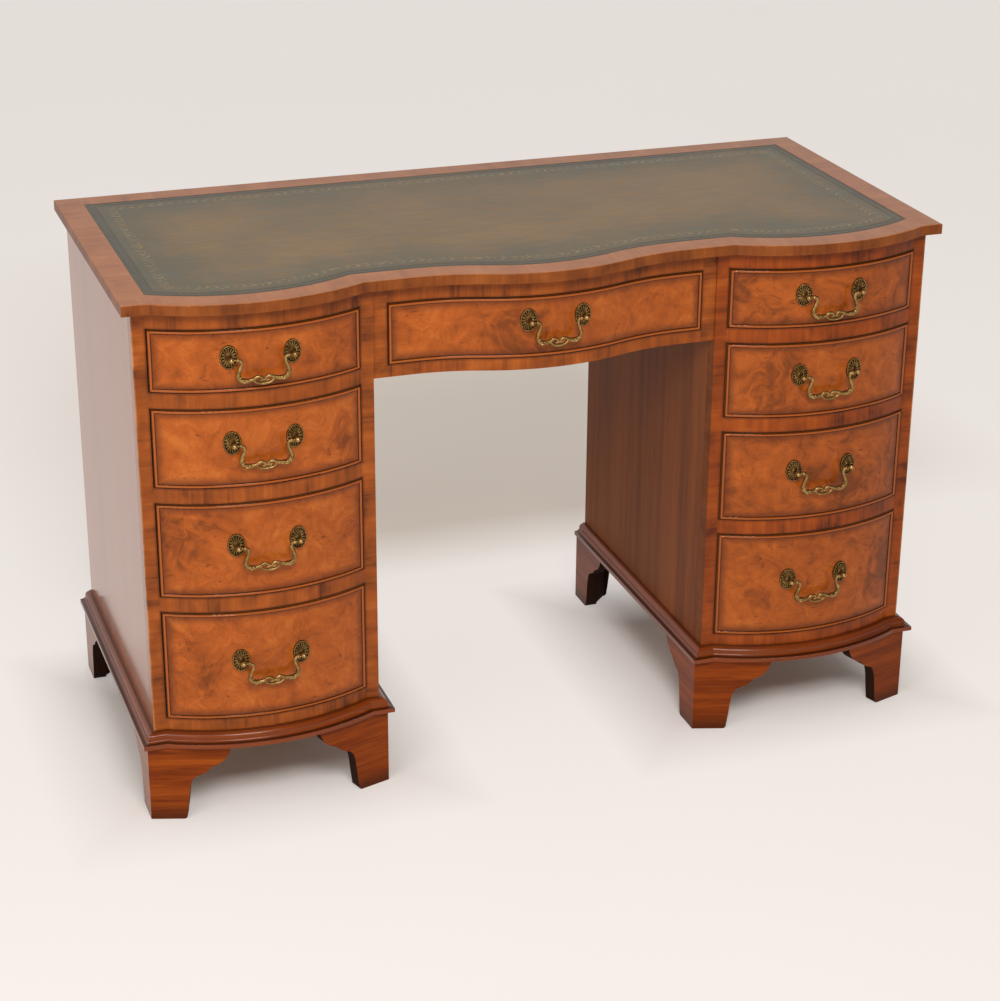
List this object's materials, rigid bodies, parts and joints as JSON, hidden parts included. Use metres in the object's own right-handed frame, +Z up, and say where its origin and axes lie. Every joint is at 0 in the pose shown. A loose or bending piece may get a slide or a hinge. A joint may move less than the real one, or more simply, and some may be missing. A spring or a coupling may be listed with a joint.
{
  "type": "kneehole desk",
  "caption": "Walnut kneehole desk with bowed drawer pedestals, a serpentine centre drawer, an inset leather top, bail handles and bracket feet.",
  "frame": {"origin": "on the floor, under the middle of the desk's outer box", "axes": "+X to the right along the length as seen from the sitter's side, +Y towards the back, +Z up; the drawers face -Y"},
  "size_m": [1.228, 0.5679, 0.788],
  "materials": {
    "burr_drawer_front": "figured walnut veneer edged with cockbeads, polished",
    "crossbanded_frame": "crossbanded walnut veneer, polished",
    "crossbanded_top": "crossbanded walnut veneer, polished",
    "walnut_side": "straight-grained walnut veneer, polished",
    "solid_moulding": "stained solid hardwood, polished",
    "carcase_timber": "planed, unpolished",
    "drawer_lining": "planed and waxed",
    "back_ply": "stained plywood",
    "tooled_leather": "antiqued hide with a tooled border",
    "brass": "cast and antiqued",
    "steel": "plain"
  },
  "bodies": {
    "carcase": {"desk_top": "crossbanded_top", "leather_writing_surface": "tooled_leather", "left_outer_side": "walnut_side", "left_inner_side": "walnut_side", "left_back": "back_ply", "left_front_frame": "crossbanded_frame", "left_bottom_board": "carcase_timber", "left_drawer_runners": "carcase_timber", "left_base_moulding": "solid_moulding", "left_bracket_feet": "solid_moulding", "right_outer_side": "walnut_side", "right_inner_side": "walnut_side", "right_back": "back_ply", "right_front_frame": "crossbanded_frame", "right_bottom_board": "carcase_timber", "right_drawer_runners": "carcase_timber", "right_base_moulding": "solid_moulding", "right_bracket_feet": "solid_moulding", "centre_front_frame": "crossbanded_frame", "centre_back_apron": "walnut_side", "centre_drawer_runners": "carcase_timber", "top_fixing_screws": "steel"},
    "left_top_drawer": {"left_top_drawer_front": "burr_drawer_front", "left_top_drawer_box": "drawer_lining", "left_top_drawer_handle_mounts": "brass"},
    "left_top_drawer_bail": {"left_top_drawer_bail": "brass"},
    "left_second_drawer": {"left_second_drawer_front": "burr_drawer_front", "left_second_drawer_box": "drawer_lining", "left_second_drawer_handle_mounts": "brass"},
    "left_second_drawer_bail": {"left_second_drawer_bail": "brass"},
    "left_third_drawer": {"left_third_drawer_front": "burr_drawer_front", "left_third_drawer_box": "drawer_lining", "left_third_drawer_handle_mounts": "brass"},
    "left_third_drawer_bail": {"left_third_drawer_bail": "brass"},
    "left_bottom_drawer": {"left_bottom_drawer_front": "burr_drawer_front", "left_bottom_drawer_box": "drawer_lining", "left_bottom_drawer_handle_mounts": "brass"},
    "left_bottom_drawer_bail": {"left_bottom_drawer_bail": "brass"},
    "right_top_drawer": {"right_top_drawer_front": "burr_drawer_front", "right_top_drawer_box": "drawer_lining", "right_top_drawer_handle_mounts": "brass"},
    "right_top_drawer_bail": {"right_top_drawer_bail": "brass"},
    "right_second_drawer": {"right_second_drawer_front": "burr_drawer_front", "right_second_drawer_box": "drawer_lining", "right_second_drawer_handle_mounts": "brass"},
    "right_second_drawer_bail": {"right_second_drawer_bail": "brass"},
    "right_third_drawer": {"right_third_drawer_front": "burr_drawer_front", "right_third_drawer_box": "drawer_lining", "right_third_drawer_handle_mounts": "brass"},
    "right_third_drawer_bail": {"right_third_drawer_bail": "brass"},
    "right_bottom_drawer": {"right_bottom_drawer_front": "burr_drawer_front", "right_bottom_drawer_box": "drawer_lining", "right_bottom_drawer_handle_mounts": "brass"},
    "right_bottom_drawer_bail": {"right_bottom_drawer_bail": "brass"},
    "centre_drawer": {"centre_drawer_front": "burr_drawer_front", "centre_drawer_box": "drawer_lining", "centre_drawer_handle_mounts": "brass"},
    "centre_drawer_bail": {"centre_drawer_bail": "brass"}
  },
  "joints": [
    {"name": "left_top_drawer_slide", "type": "slide", "parent": "carcase", "child": "left_top_drawer", "axis": [0, -1, 0], "range_m": [0, 0.3]},
    {"name": "left_top_drawer_bail_swing", "type": "hinge", "parent": "left_top_drawer", "child": "left_top_drawer_bail", "pos_m": [-0.427, -0.27595, 0.70656], "axis": [-1, 0, 0], "range_deg": [-10, 110]},
    {"name": "left_second_drawer_slide", "type": "slide", "parent": "carcase", "child": "left_second_drawer", "axis": [0, -1, 0], "range_m": [0, 0.3]},
    {"name": "left_second_drawer_bail_swing", "type": "hinge", "parent": "left_second_drawer", "child": "left_second_drawer_bail", "pos_m": [-0.427, -0.27595, 0.58269], "axis": [-1, 0, 0], "range_deg": [-10, 110]},
    {"name": "left_third_drawer_slide", "type": "slide", "parent": "carcase", "child": "left_third_drawer", "axis": [0, -1, 0], "range_m": [0, 0.3]},
    {"name": "left_third_drawer_bail_swing", "type": "hinge", "parent": "left_third_drawer", "child": "left_third_drawer_bail", "pos_m": [-0.427, -0.27595, 0.42981], "axis": [-1, 0, 0], "range_deg": [-10, 110]},
    {"name": "left_bottom_drawer_slide", "type": "slide", "parent": "carcase", "child": "left_bottom_drawer", "axis": [0, -1, 0], "range_m": [0, 0.3]},
    {"name": "left_bottom_drawer_bail_swing", "type": "hinge", "parent": "left_bottom_drawer", "child": "left_bottom_drawer_bail", "pos_m": [-0.427, -0.27595, 0.25094], "axis": [-1, 0, 0], "range_deg": [-10, 110]},
    {"name": "right_top_drawer_slide", "type": "slide", "parent": "carcase", "child": "right_top_drawer", "axis": [0, -1, 0], "range_m": [0, 0.3]},
    {"name": "right_top_drawer_bail_swing", "type": "hinge", "parent": "right_top_drawer", "child": "right_top_drawer_bail", "pos_m": [0.427, -0.27595, 0.70656], "axis": [-1, 0, 0], "range_deg": [-10, 110]},
    {"name": "right_second_drawer_slide", "type": "slide", "parent": "carcase", "child": "right_second_drawer", "axis": [0, -1, 0], "range_m": [0, 0.3]},
    {"name": "right_second_drawer_bail_swing", "type": "hinge", "parent": "right_second_drawer", "child": "right_second_drawer_bail", "pos_m": [0.427, -0.27595, 0.58269], "axis": [-1, 0, 0], "range_deg": [-10, 110]},
    {"name": "right_third_drawer_slide", "type": "slide", "parent": "carcase", "child": "right_third_drawer", "axis": [0, -1, 0], "range_m": [0, 0.3]},
    {"name": "right_third_drawer_bail_swing", "type": "hinge", "parent": "right_third_drawer", "child": "right_third_drawer_bail", "pos_m": [0.427, -0.27595, 0.42981], "axis": [-1, 0, 0], "range_deg": [-10, 110]},
    {"name": "right_bottom_drawer_slide", "type": "slide", "parent": "carcase", "child": "right_bottom_drawer", "axis": [0, -1, 0], "range_m": [0, 0.3]},
    {"name": "right_bottom_drawer_bail_swing", "type": "hinge", "parent": "right_bottom_drawer", "child": "right_bottom_drawer_bail", "pos_m": [0.427, -0.27595, 0.25094], "axis": [-1, 0, 0], "range_deg": [-10, 110]},
    {"name": "centre_drawer_slide", "type": "slide", "parent": "carcase", "child": "centre_drawer", "axis": [0, -1, 0], "range_m": [0, 0.3]},
    {"name": "centre_drawer_bail_swing", "type": "hinge", "parent": "centre_drawer", "child": "centre_drawer_bail", "pos_m": [0, -0.2704, 0.71156], "axis": [-1, 0, 0], "range_deg": [-10, 110]}
  ]
}
